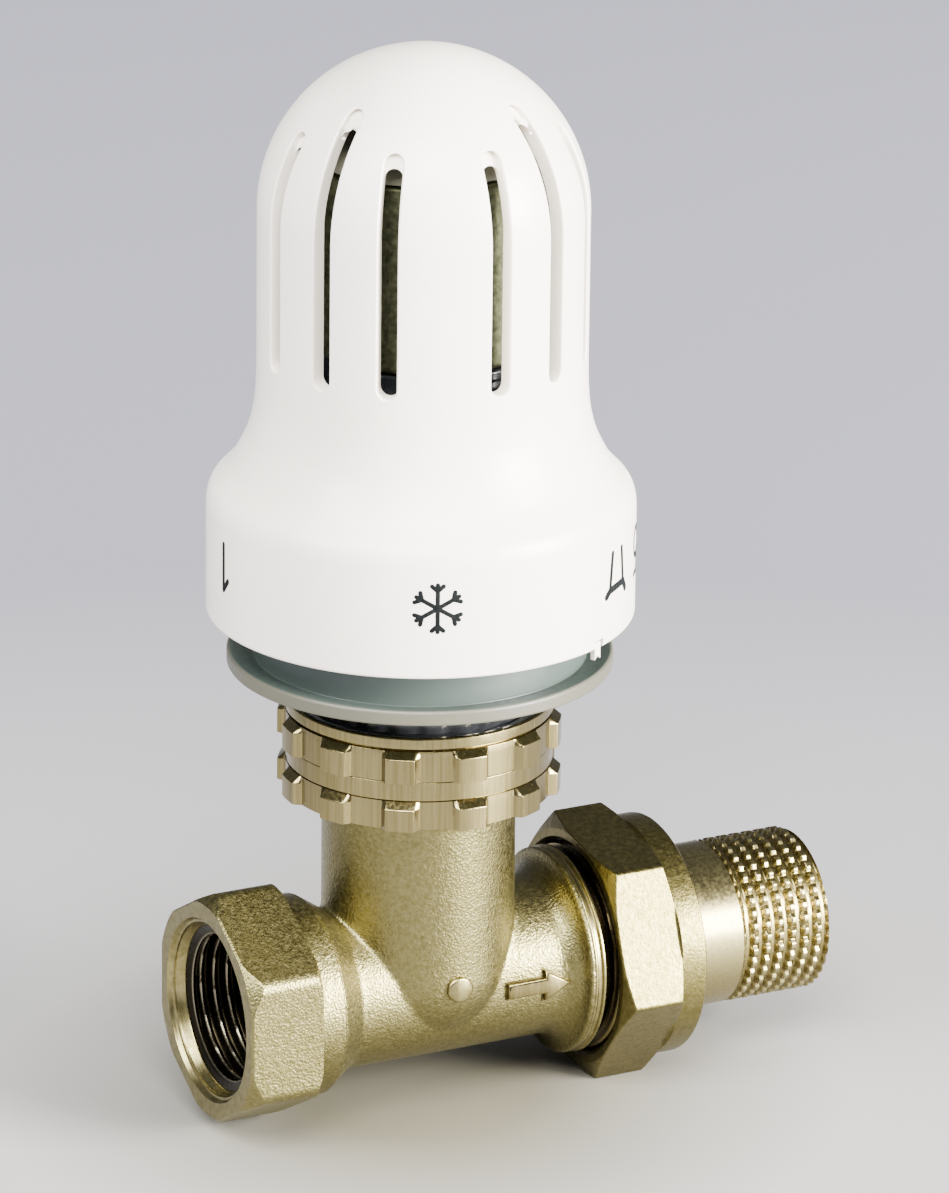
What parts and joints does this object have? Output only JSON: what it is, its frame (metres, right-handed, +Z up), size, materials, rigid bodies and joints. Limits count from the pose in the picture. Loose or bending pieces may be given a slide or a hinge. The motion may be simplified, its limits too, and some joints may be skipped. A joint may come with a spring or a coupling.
{
  "type": "thermostatic radiator valve",
  "caption": "Straight radiator valve: brass body with hex inlet socket and union tail, and a white domed thermostatic head with air slots and a numbered band.",
  "frame": {"origin": "centre of the inlet socket's end face, on the pipe's axis", "axes": "+X along the pipe from inlet to radiator, +Z up along the axis of the thermostatic head, +Y completes a right-handed frame"},
  "size_m": [0.083, 0.0532, 0.137],
  "materials": {
    "nickel_cast": "nickel plating over shot-blasted brass, satin",
    "nickel_bright": "polished nickel plating",
    "brass": "turned brass",
    "steel": "turned stainless steel",
    "spring_steel": "drawn spring wire",
    "white_plastic": "glossy white",
    "grey_plastic": "satin grey",
    "black_plastic": "satin black",
    "sensor_metal": "dull metal can",
    "rubber": "black EPDM"
  },
  "bodies": {
    "valve_body": {"valve_body": "nickel_cast", "insert_bonnet": "brass", "gland_nut": "brass", "bonnet_oring": "rubber", "gland_oring": "rubber", "spring_seat": "steel", "return_spring": "spring_steel"},
    "valve_pin": {"valve_spindle": "steel", "spindle_circlip": "spring_steel", "disc_holder": "brass", "valve_disc": "rubber", "disc_nut": "steel"},
    "head_base": {"base_ring": "grey_plastic", "collar": "black_plastic", "nut_retaining_ring": "spring_steel"},
    "lock_nut": {"lock_nut": "nickel_bright"},
    "setpoint_carrier": {"plunger": "grey_plastic"},
    "sensor": {"sensor_holder": "black_plastic", "sensor_can": "sensor_metal", "sensor_cap": "white_plastic"},
    "knob": {"knob_cap": "white_plastic", "knob_sleeve": "black_plastic", "limit_tab": "white_plastic", "spring_retainer": "black_plastic", "overtravel_spring": "spring_steel"},
    "tail": {"tailpiece": "nickel_cast", "tail_seal": "rubber"},
    "union_nut": {"union_nut": "nickel_cast"}
  },
  "joints": [
    {"name": "head_lift", "type": "slide", "parent": "valve_body", "child": "head_base", "axis": [0, 0, 1], "range_m": [0, 0.00675]},
    {"name": "lock_nut_turn", "type": "hinge", "parent": "head_base", "child": "lock_nut", "pos_m": [0.0292, 0, 0.032], "axis": [0, 0, 1], "range_deg": [0, 1620]},
    {"name": "setpoint_travel", "type": "slide", "parent": "head_base", "child": "setpoint_carrier", "axis": [0, 0, 1], "range_m": [-0.0035, 0]},
    {"name": "knob_turn", "type": "hinge", "parent": "setpoint_carrier", "child": "knob", "pos_m": [0.0292, 0, 0.075], "axis": [0, 0, 1], "range_deg": [-300, 0]},
    {"name": "sensor_overtravel", "type": "slide", "parent": "setpoint_carrier", "child": "sensor", "axis": [0, 0, 1], "range_m": [0, 0.0025], "stiffness_N_per_m": 2000, "springref_m": -0.001, "deforming": ["overtravel_spring"]},
    {"name": "pin_travel", "type": "slide", "parent": "valve_body", "child": "valve_pin", "axis": [0, 0, 1], "range_m": [-0.0035, 0], "deforming": ["return_spring"]},
    {"name": "tail_backoff", "type": "slide", "parent": "valve_body", "child": "tail", "axis": [1, 0, 0], "range_m": [0, 0.00816]},
    {"name": "union_nut_turn", "type": "hinge", "parent": "tail", "child": "union_nut", "pos_m": [0.055, 0, 0], "axis": [1, 0, 0], "range_deg": [0, 1620]}
  ],
  "couplings": [
    {"joint": "knob_turn", "follows": "setpoint_travel", "rad_per_m": 1496},
    {"joint": "pin_travel", "follows": "setpoint_travel", "ratio": 1},
    {"joint": "lock_nut_turn", "follows": "head_lift", "rad_per_m": 4188.8},
    {"joint": "union_nut_turn", "follows": "tail_backoff", "rad_per_m": 3463.7}
  ]
}
